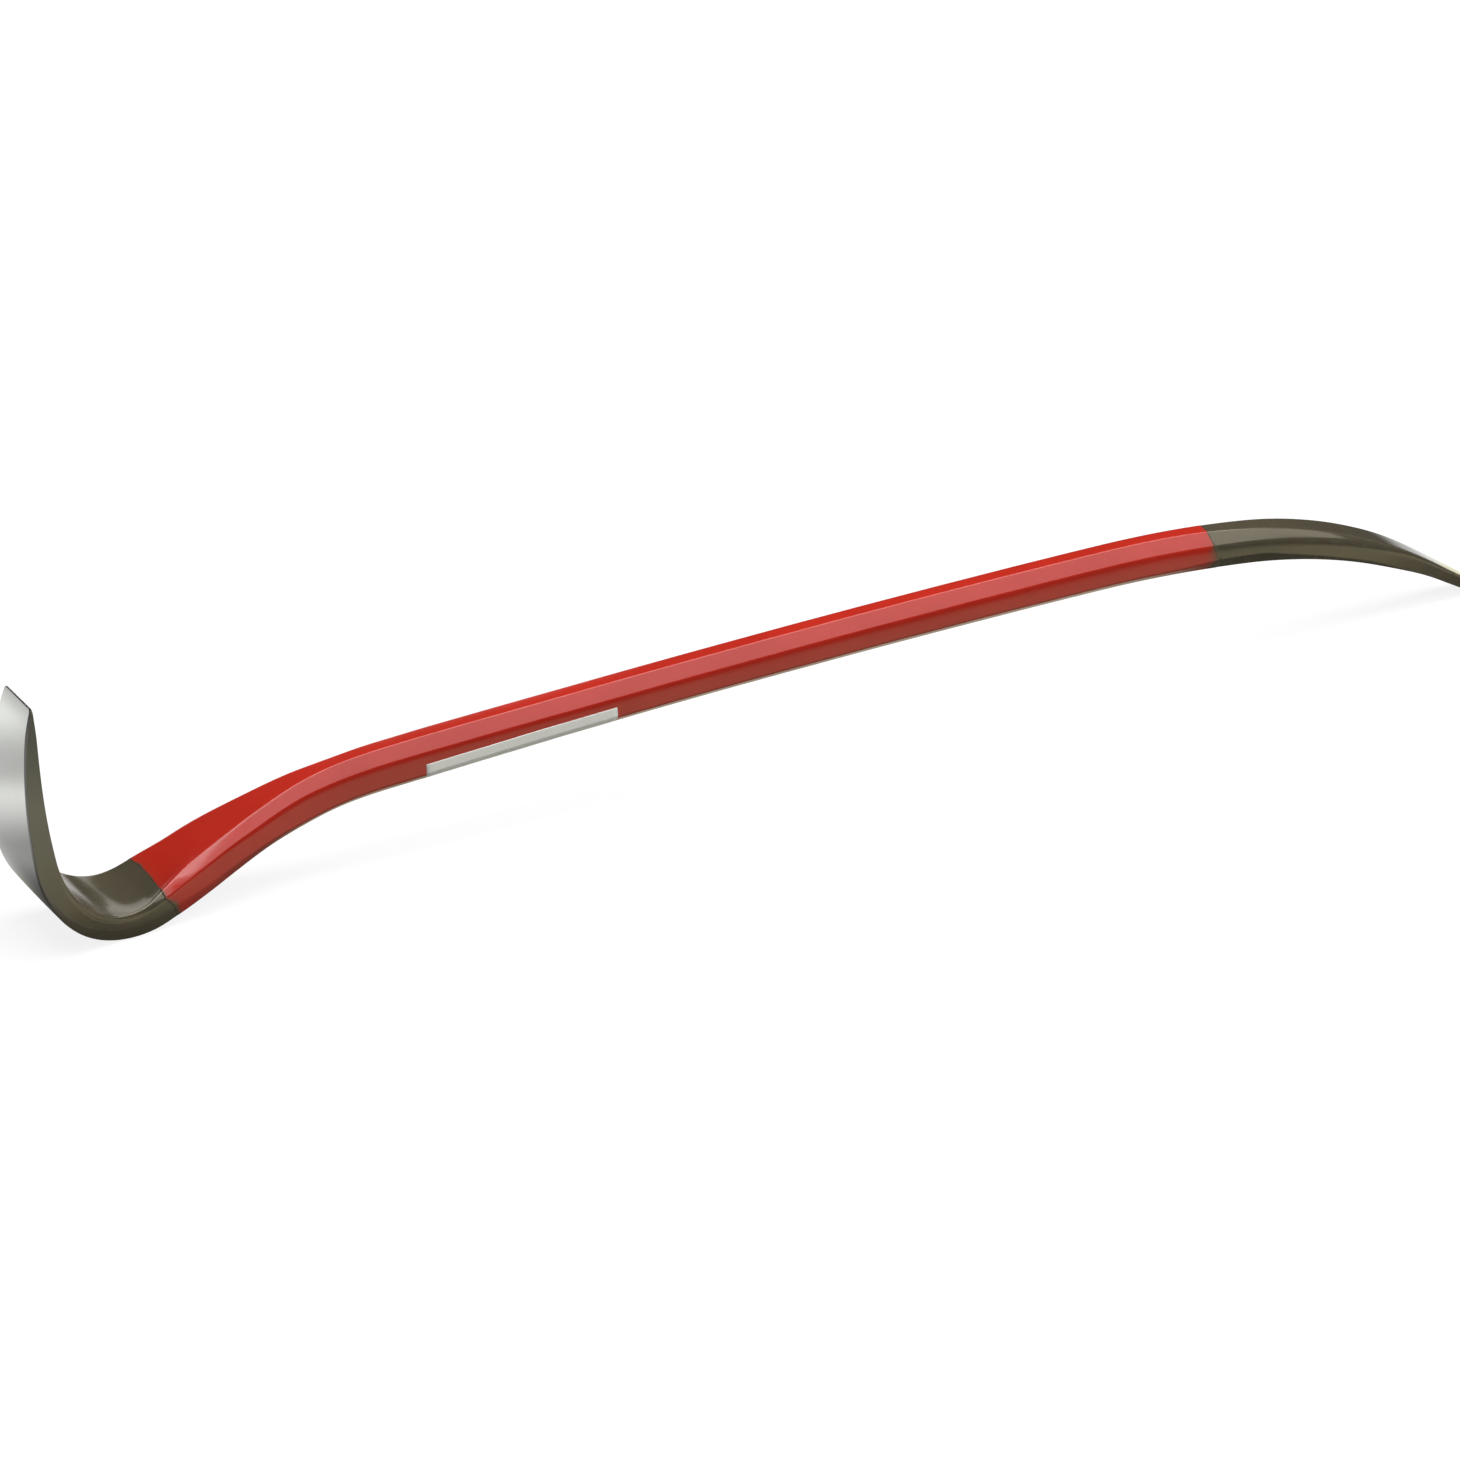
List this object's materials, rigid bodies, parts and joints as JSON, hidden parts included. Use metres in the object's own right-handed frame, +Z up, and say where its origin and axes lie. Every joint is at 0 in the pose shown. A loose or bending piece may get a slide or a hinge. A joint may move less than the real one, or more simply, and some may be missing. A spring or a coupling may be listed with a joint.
{
  "type": "crowbar",
  "caption": "One-piece forged pry bar with an octagonal painted shaft, a broad wedge blade bent up at one end and a tapered, rounded nose bent down at the other.",
  "frame": {"origin": "centre of the bounding box in X and Y, on the floor that the heel and the nose stand on", "axes": "X along the bar from the blade (-X) to the nose (+X), Y across it, Z up"},
  "size_m": [0.9066, 0.0592, 0.1446],
  "materials": {
    "forged_steel": "dark lacquered forging skin, satin",
    "red_coat": "satin red paint",
    "label": "matt off-white film"
  },
  "bodies": {
    "root": {"forged_bar": "forged_steel", "red_coat": "red_coat", "label": "label"}
  },
  "joints": []
}
